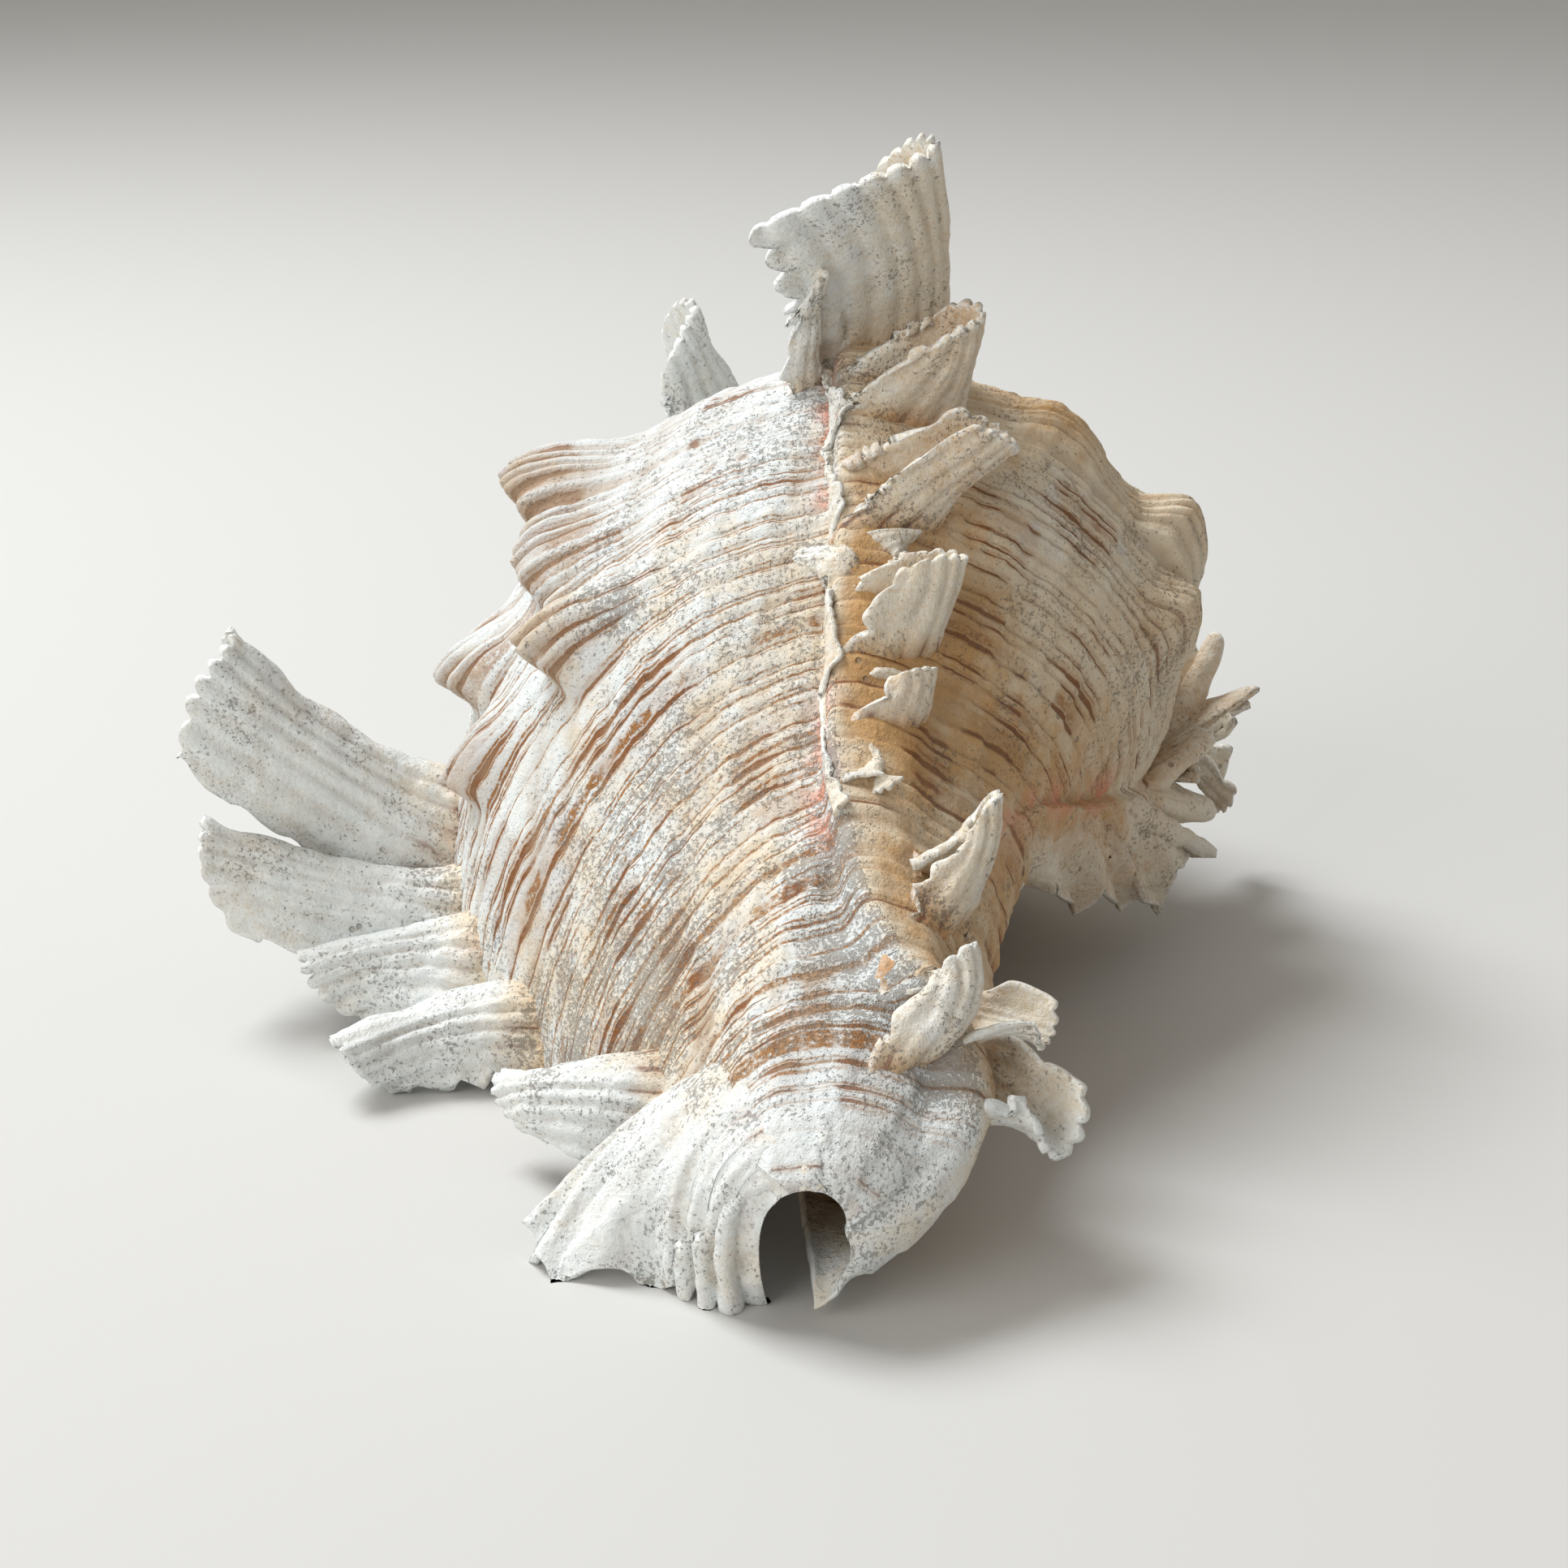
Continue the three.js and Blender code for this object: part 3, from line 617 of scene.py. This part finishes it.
def sheet_mesh(points, thick, outer_relief, away):
    """A sheet with two faces and closed edges, round a grid of points; away tells the outer face's side."""
    rows, columns = points.shape[:2]
    normal = normals(points)
    flip = np.sum(normal * away) < 0
    if flip:
        normal = -normal
    outer = points + normal * (thick / 2 + outer_relief)[..., None]
    inner = points - normal * (thick / 2 - 0.5 * outer_relief)[..., None]
    count = rows * columns
    quads = [grid_quads(rows, columns, 0, flip), grid_quads(rows, columns, count, not flip)]
    index = np.arange(count).reshape(rows, columns)
    rim = np.concatenate([index[:, 0], index[-1, 1:], index[-2::-1, -1], index[0, -2:0:-1]])
    after = np.roll(rim, -1)
    strip = np.stack([rim, after, after + count, rim + count], -1)
    quads.append(strip if flip else strip[:, ::-1])
    return np.concatenate([outer.reshape(-1, 3), inner.reshape(-1, 3)]), np.concatenate(quads)


def both(value, shape):
    """A value for both faces of a sheet."""
    return np.concatenate([np.broadcast_to(value, shape).ravel()] * 2)


def bezier(ends, t):
    """Points of a cubic curve from the first of its four ends to the last, at t from 0 to 1."""
    a, b, c, d = ends
    t = t[..., None]
    u = 1 - t
    return u**3 * a + 3 * u**2 * t * b + 3 * u * t**2 * c + t**3 * d


def lobes(rib, seed):
    """The margin's rounded lobes, from 0 in the notches between them to 1, and each lobe's own size."""
    number = np.floor(rib)
    share = rib - number
    lobe = 1 - abs(2 * share - 1) ** 2
    own = 0.5 + 0.5 * np.sin(number * 12.9898 + seed * 4.137) * np.cos(number * 7.23 + seed)
    return lobe, 0.3 + 1.2 * own


def frond_marks(rib, along, base, rim, carved, seed, points):
    """The marks that the material reads, at points of a frond.

    Base is 1 at its foot, and rim is 1 on its margin.
    """
    shape = rib.shape
    outer = np.concatenate([np.ones(rib.size), np.zeros(rib.size)])
    # Fronds on the right are warmer than those on the left and at the canal
    right_side = 0.1 + 0.75 * fade(points[..., 0], 2, 28) * fade(points[..., 1], -72, -52)
    warm = both(right_side + 0.28 * noise(points, 9, seed + 7) + 0.3 * base, shape)
    return {
        "cord": both(rib, shape),
        "arc": both(along + 31 * seed, shape),
        "warm": warm + 0.5 * outer * both(base, shape),
        "dirt": both(0.15 + 0.5 * base + 0.5 * noise(points, 6, seed + 9), shape),
        "stain": both(0.3 * base * smooth(noise(points, 4, seed + 11) * 2), shape),
        "edge": both(np.maximum(rim, (0.8 - 0.5 * right_side) * (1 - base)), shape),
        "steep": both(0.0, shape),
        # Where the valleys between the ribs sink in, for the painted shade there
        "deep": both(0.9 * np.clip(-carved / 0.6, 0, 1), shape),
        "lined": both(0.05 + 0.35 * base, shape),
    }


def flutes(lobe, rib, small, points, seed):
    """The relief of a frond's ribs in mm."""
    carved = small * (0.55 + 0.3 * noise(points, 9, seed)) * (lobe - 0.6 + 0.14 * np.cos(6 * np.pi * rib))
    return carved + 0.3 * noise(points, 2.6, seed + 5) + 0.14 * noise(points, 0.9, seed + 6)


EMBEDDED = 2.2  # mm that a frond's base stands inside the wall
LEAF_THICK = 2.4
TIP_THICK = 1.2


def leaf(shape, seed, rows, columns):
    """The mesh of one frond. Its base is a bow on the wall round its back's root, open in front."""
    turn, reach, tip_turn, tip_distance, tip_radius, rise = shape[:6]
    root_half, tip_half, root_fold, tip_fold, ribs, back, curl = shape[6:]
    size = growth(turn, reach)
    radius = wall_radius(turn, reach)
    tip = place(tip_turn, tip_distance, tip_radius)
    over_root = wall(turn, reach, rise)
    length = np.linalg.norm(tip - wall(turn, reach))
    toward = unit(tip - over_root)
    side = unit(-AXIS + toward * (toward @ AXIS))
    front = np.cross(side, toward)
    # s runs from the base to the tip, and c across from one margin over the back to the other
    s = np.linspace(0, 1, rows)[:, None]
    c = np.linspace(-1, 1, columns)[None, :]
    far = abs(c)
    small = min(1.0, root_half / 6)
    along = np.stack([s * length + 0 * c, 3 * np.sign(c) + 0 * s], -1)
    # The crinkled margins
    scallop = 2 * abs(np.sin(np.pi * (s * length / 4 + 0.8 * noise(along, 6, seed)))) ** 0.8 - 1.2
    scallop = scallop * (0.6 + 0.5 * noise(along, 5, seed + 3)) + 0.4 * noise(along, 1.6, seed)
    crinkle = far**5 * smooth(s / 0.15)
    # How far each point stands to the side of the back and ahead of it
    wide = far * (1 + 1.5 / (root_half + root_fold) * scallop * crinkle)
    wing = np.where(c < 0, back, 1.0)
    across = np.sign(c) * wing * (wide**0.65 - curl * wide**3 * smooth(s / 0.3))
    ahead = wing * wide**1.3
    base_turn = turn + np.degrees(root_fold * ahead / radius)
    base_reach = reach + root_half * across / size
    foot = wall(base_turn, base_reach, 0.3)
    under = wall(base_turn, base_reach, -EMBEDDED)
    # The tip, cut back at a slant towards the margins
    slant = min(0.3, 65 / tip_fold**2) + np.where(c < 0, 0.5 * (1 - back), 0)
    ends = tip + side * (tip_half * across)[..., None] + front * (tip_fold * ahead)[..., None]
    ends = ends - toward * (slant * length * wide**2.6)[..., None]
    straight = foot + 0.5 * (ends - foot) + outward(np.array(turn, float)) * (0.08 * length)
    bent = (far**1.5 + 0 * s)[..., None]
    knee = over_root * (1 - bent) + straight * bent
    rib = ribs * far + 0.5 + 0.2 * np.sin(seed + 2.5 * s) + 40 * (c < 0)
    lobe, own = lobes(rib, seed)
    jag = 0.085 * min(tip_fold, 12) * own * (lobe**0.6 - 0.7) / length
    points = bezier((under, foot, knee, ends), s + jag * s**8)
    # Lumps, and the ribs on both faces
    away = normals(points)
    away = away * np.sign(np.sum(away * -front, -1, keepdims=True).mean())
    lump = smooth(s / 0.4) * small * noise(points, 7, seed) + 0.6 * noise(along, 3, seed + 9) * crinkle
    points = points + away * lump[..., None]
    thickness = (LEAF_THICK - (LEAF_THICK - TIP_THICK) * smooth(1.1 * s)) * (1 - 0.2 * far**5) * small
    carved = flutes(lobe, rib, small * smooth(s / 0.25) * smooth(far / 0.12), points, seed)
    mesh, quads = sheet_mesh(points, thickness + 0 * c, carved, -front)
    rim = np.maximum(smooth((s - 0.93) / 0.07), smooth((far - 0.9) / 0.1) * smooth(s / 0.2)) + 0 * s * c
    return mesh, quads, frond_marks(rib, s * length, 1 - smooth(s / 0.55), rim, carved, seed, points)


def through(points, t, rounded=True):
    """Points of a smooth curve, or of straight lines, through the given ones, at t from 0 to 1."""
    at = np.linspace(0, 1, len(points))
    columns = np.array(points).T
    if not rounded:
        return np.stack([np.interp(t, at, column) for column in columns], -1)
    return np.stack([curve(list(zip(at, column)), t) for column in columns], -1)


def spread(base, knee, margin, rib, pleat, thickness, seed, rows, depth=0.7):
    """A ribbed sheet from a row of base points over a row of knee points out to a row of margin points.

    Pleat is how far in mm its margin stands out. Depth is how deep its ribs are. Where it is negative, the
    ribs are sharp and the valleys wide.
    """
    u = np.linspace(0, 1, rows)[:, None]
    rib = rib + 0 * u
    lobe, own = lobes(rib, seed)
    ragged = noise(np.stack([rib, 0 * rib], -1), 0.3, seed + 13)
    t = u * (1 + (0.09 * np.sign(depth) * own * (lobe - 0.75) + 0.03 * ragged) * u**4)
    points = bezier((base, base + (knee - base) * 0.67, knee + (margin - knee) * 0.33, margin), t)
    rise = normals(points)
    rise = rise * np.where(rise[..., 2:] < 0, -1, 1)
    height = pleat * u + 0.5 * noise(points, 6, seed) * u
    points = points + rise * height[..., None]
    carved = flutes(lobe, rib, depth * smooth(u / 0.4), points, seed)
    mesh, quads = sheet_mesh(points, thickness * (1 - 0.5 * smooth(u)) + 0 * rib, carved, rise)
    rim = smooth((u - 0.92) / 0.08) + 0 * rib
    return mesh, quads, frond_marks(rib, 20 * u, 0.4 - 0.4 * smooth(u / 0.5), rim, carved, seed, points)


def fan():
    """The ribbed sheet that spreads from the canal's left side down to the resting surface."""
    v = np.linspace(0, 1, 150)
    bases, knees, margins = [], [], []
    for (turn, reach), tip in FAN:
        base, margin = wall(turn, reach, -1.2), place(*tip)
        onward = unit(wall(turn + 5, reach, 1.2) - base) + unit(margin - base)
        bases.append(base)
        margins.append(margin)
        knees.append(base + unit(onward) * 0.5 * np.linalg.norm(margin - base))
    rib = 6.5 * v + 0.35 * np.sin(9 * v) + 0.3
    pleat = 0.8 * np.sin(2 * np.pi * (rib - 0.25)) * smooth((1 - v) / 0.15)
    return spread(through(bases, v), through(knees, v), through(margins, v), rib, pleat, 1.9, 17, 80, -0.9)


def skirt():
    """The fronds of the right varix, grown together along their bases into one pleated sheet."""
    bases, tips = [], []
    for number, (foot, tip) in enumerate(SKIRT):
        bases.append(wall(*foot, -1.5))
        tips.append(place(*tip))
        if number + 1 < len(SKIRT):
            after = SKIRT[number + 1]
            between_feet = (np.array(foot) + after[0]) / 2
            bases.append(wall(*between_feet, -1.5))
            out = (place(*tip) + place(*after[1])) / 2
            tips.append(bases[-1] + SKIRT_VALLEY * (out - bases[-1]))
    v = np.linspace(0, 1, 360)
    at = v * (len(bases) - 1)
    pleat = 1.6 * np.cos(np.pi * at)
    base, margin = through(bases, v), through(tips, v, rounded=False)
    knee = base + 0.5 * (margin - base) + 1.5 * unit(base - place(0, 0, 0))
    return spread(base, knee, margin, 0.5 * at + 0.5, pleat, 1.8, 47, 54)


def frill():
    """The crinkled edge of the old lip, along the middle varix."""
    reach = np.linspace(62, 134, 480)
    crest = curve(MIDDLE_VARIX, reach)
    here = np.stack([reach, 0 * reach], -1)
    lift = 1.0 + 0.7 * noise(here, 4, 81) + 0.5 * noise(here, 1.5, 83)
    base = wall(crest + 2.5, reach, -0.8)
    knee = wall(crest + 4 + 2 * noise(here, 3, 85), reach, 0.7 * lift)
    margin = wall(crest + 2.5 + 4 * noise(here, 3, 87), reach + 1.2 * noise(here, 2.5, 89), lift)
    return spread(base, knee, margin, reach / 2.4, 0 * reach, 1.1, 53, 12)


def canal():
    """The canal's end: a thin wall that closes round to the right and stays open below."""
    reaches = np.linspace(CANAL_FROM, LENGTH, 70)
    turn, reach = between((CANAL_LINE, LIP_LINE), 200, reaches)
    carved = relief(turn, reach) * (1 - 0.7 * fade(reach, 146, 156)) * (1 - fade(reach, 162, 168))
    here = np.stack([np.radians(turn) * 14, reach], -1)
    bumps = 0.45 * noise(here, 4, 71) + 0.2 * noise(here, 1.4, 73)
    points = wall(turn, reach)
    away = points - place(turn, reach, 0)
    inward = CANAL_WALL / 2 * smooth((reach - CANAL_FROM) / 2) * smooth((LENGTH + 2 - reach) / 6)
    points = points - unit(away) * inward[..., None]
    mesh, quads = sheet_mesh(points, 2 * inward + 0.1, carved + bumps * fade(reach, 150, 154), away)
    marks = {key: both(value, turn.shape) for key, value in wall_marks(turn, reach).items()}
    return mesh, quads, marks


def join(name, parts):
    """One piece from several meshes."""
    start = 0
    points, quads = [], []
    for mesh, faces, marks in parts:
        points.append(mesh)
        quads.append(faces + start)
        start += len(mesh)
    marks = {key: np.concatenate([part[2][key] for part in parts]) for key in parts[0][2]}
    return make_piece(name, np.concatenate(points), np.concatenate(quads), marks, SHELL)


# The grids of the walls: columns round the whorls, and mm of reach from row to row
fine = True
LEFT_COLUMNS = 230 if fine else 120
RIGHT_COLUMNS = 190 if fine else 110
UNDER_COLUMNS = 150
SPIRE_COLUMNS = 434
ROW = 0.34 if fine else 0.5
UNDER_ROW = 0.8
SPIRE_ROW = 0.6
WALL_END = CANAL_FROM + 0.3
SPIRE_END = 76  # reach, inside the next whorl

rows = np.arange(FIRST_REACH, WALL_END, ROW)
under_rows = np.arange(FIRST_REACH, WALL_END, UNDER_ROW)
spire_rows = np.arange(FIRST_REACH, SPIRE_END, SPIRE_ROW)
middle_seam = shifted(MIDDLE_VARIX, 1)
right_seam = shifted(RIGHT_VARIX, 1)
spire_turns = [LIP_TURN + 3 - 360 * whorls for whorls in (4, 1)]
spire_lines = [[(FIRST_REACH, turn), (SPIRE_END, turn)] for turn in spire_turns]
wall_piece("wall_left", (middle_seam, LIP_LINE), LEFT_COLUMNS, rows)
wall_piece("wall_right", (right_seam, middle_seam), RIGHT_COLUMNS, rows)
wall_piece("wall_under", (UNDER_LINE, right_seam), UNDER_COLUMNS, under_rows)
wall_piece("spire", spire_lines, SPIRE_COLUMNS, spire_rows, SPIRE_RELIEF, 0)
apex(spire_turns[0])

DEEP_FOLD = 10  # mm at the root: a leaf with a deeper fold has the finer grid
FINE_LEAF = (72, 85)
PLAIN_LEAF = (48, 51)
FOLD_AT = 8  # the depth at the root in a frond's row

for name, fronds, seed, more in (
    ("lip_fronds", LIP_FRONDS, 1, []), ("middle_fronds", MIDDLE_FRONDS, 21, [frill()]),
    ("right_fronds", RIGHT_FRONDS, 41, [skirt()]), ("spire_fronds", SPIRE_FRONDS, 61, []),
):
    parts = []
    for number, shape in enumerate(fronds):
        grid = FINE_LEAF if shape[FOLD_AT] >= DEEP_FOLD else PLAIN_LEAF
        parts.append(leaf(shape, seed + number, *grid))
    join(name, parts + more)
join("canal", [canal(), fan()])


# The hollow behind the aperture: (reach, thickness of the wall outside it, its inner radius), at the lip
HOLLOW = [
    (48, 4, 36), (54, 4, 33), (62, 4, 29), (70, 4, 25), (80, 4, 21), (90, 4, 18.5),
    (100, 4, 18), (108, 6, 17), (116, 11, 16.5), (123, 14, 16),
]
HOLLOW_END = -50  # turn
LIP_THICK = 4.5
LIP_BULGE = 1.6


def plain_marks(points, warm, dirt):
    """The marks of a surface without cords."""
    count = len(points)
    return {
        "cord": np.full(count, 0.5),
        "arc": points[:, 0],
        "warm": np.clip(warm + 0.2 * noise(points, 12, 31), 0, 1),
        "dirt": np.clip(dirt + 0.3 * noise(points, 6, 33), 0, 1),
        "stain": np.zeros(count),
        "edge": np.zeros(count),
        "steep": np.zeros(count),
        "deep": np.zeros(count),
        "lined": np.zeros(count),
    }


def tube(name, loops, warm, dirt):
    """A closed band through loops of points, seen from inside."""
    loops = np.array(loops)
    rows, columns = loops.shape[:2]
    closed = np.concatenate([loops, loops[:, :1]], 1)
    quads = grid_quads(rows, columns + 1)
    points = closed.reshape(-1, 3)
    return make_piece(name, points, quads, plain_marks(points, warm, dirt), SHELL)


def hollow():
    """The inside of the body whorl, from the lip back into it."""
    table = np.array(HOLLOW, float)
    at = np.linspace(table[0, 0], table[-1, 0], 60)
    thick, inner = curve(table[:, :2], at), curve(table[:, (0, 2)], at)
    loops = []
    for turn in np.linspace(LIP_TURN, HOLLOW_END, 60):
        size = growth(turn, at)
        near = size * inner
        far = np.maximum(wall_radius(turn, at) - size * thick, near + 1)
        loops.append(np.concatenate([place(turn, size * at, far), place(turn, size * at, near)[::-1]]))
    return tube("hollow", loops, 0.75, 0.2)


def lip_edge():
    """The rounded edge of the outer lip, from the outer wall round to the hollow."""
    at = np.linspace(HOLLOW[0][0], CANAL_FROM, 220)
    table = np.array(HOLLOW, float)
    thick = np.minimum(curve(table[:, :2], at), LIP_THICK)
    outer = wall_radius(LIP_TURN, at) + relief(LIP_TURN, at)
    turned = np.linspace(0, np.pi, 10)
    rows = []
    for angle in turned:
        ahead = np.degrees(LIP_BULGE * math.sin(angle) / outer)
        rows.append(place(LIP_TURN + ahead, at, outer - thick * (1 - math.cos(angle)) / 2))
    points = np.array(rows)
    quads = grid_quads(*points.shape[:2])
    points = points.reshape(-1, 3)
    return make_piece("lip_edge", points, quads, plain_marks(points, 0.3, 0.1), SHELL)


hollow()
lip_edge()


# Floor, light and camera
FLOOR_HALF = 4  # m
FLOOR_GREY = (0.62, 0.62, 0.61)
LIGHTS_AIM_AT = (0, 0, 0.03)
SKY = (1.0, 0.95, 0.88)
SKY_STRENGTH = 0.36


def stage():
    g = Graph("floor")
    g.put(g.shader.inputs["Base Color"], FLOOR_GREY)
    g.shader.inputs["Roughness"].default_value = 0.9
    mesh = bpy.data.meshes.new("floor")
    corners = [(-FLOOR_HALF, -FLOOR_HALF, 0), (FLOOR_HALF, -FLOOR_HALF, 0)]
    corners += [(FLOOR_HALF, FLOOR_HALF, 0), (-FLOOR_HALF, FLOOR_HALF, 0)]
    mesh.from_pydata(corners, [], [(0, 1, 2, 3)])
    mesh.materials.append(g.material)
    floor = bpy.data.objects.new("floor", mesh)
    bpy.context.scene.collection.objects.link(floor)


def light(name, at, size, power, colour):
    data = bpy.data.lights.new(name, "AREA")
    data.size = size
    data.energy = power
    data.color = colour
    lamp = bpy.data.objects.new(name, data)
    bpy.context.scene.collection.objects.link(lamp)
    lamp.location = at
    lamp.rotation_euler = (Vector(LIGHTS_AIM_AT) - Vector(at)).to_track_quat("-Z", "Y").to_euler()


stage()
light("key", (-0.5, 0.25, 1.0), size=0.5, power=12.5, colour=(0.97, 0.99, 1.0))
light("fill", (-0.9, -1.0, 0.6), size=1.0, power=8.5, colour=(1.0, 0.97, 0.92))
world = bpy.data.worlds.new("studio")
world.use_nodes = True
background = world.node_tree.nodes["Background"]
background.inputs["Color"].default_value = (*SKY, 1)
background.inputs["Strength"].default_value = SKY_STRENGTH
bpy.context.scene.world = world
bpy.context.scene.view_settings.view_transform = "Standard"

CAMERA_FROM_TIP = (14.2, -261.66, 158.02)  # mm in x and y from the canal's tip, and above the floor
CAMERA_DOWN = 20.17  # degrees that it looks down, and that it is turned to the left
CAMERA_LEFT = 4.2
SENSOR_WIDTH = 36
LENS = 65.2
camera_data = bpy.data.cameras.new("camera")
camera_data.sensor_width = SENSOR_WIDTH
camera_data.lens = LENS
camera_data.clip_start = 0.01
camera = bpy.data.objects.new("camera", camera_data)
bpy.context.scene.collection.objects.link(camera)
camera.location = [
    (CAMERA_FROM_TIP[0] - CENTRE[0]) * MM,
    (CAMERA_FROM_TIP[1] - CENTRE[1]) * MM,
    CAMERA_FROM_TIP[2] * MM,
]
camera.rotation_euler = (math.radians(90 - CAMERA_DOWN), 0, math.radians(CAMERA_LEFT))
bpy.context.scene.camera = camera
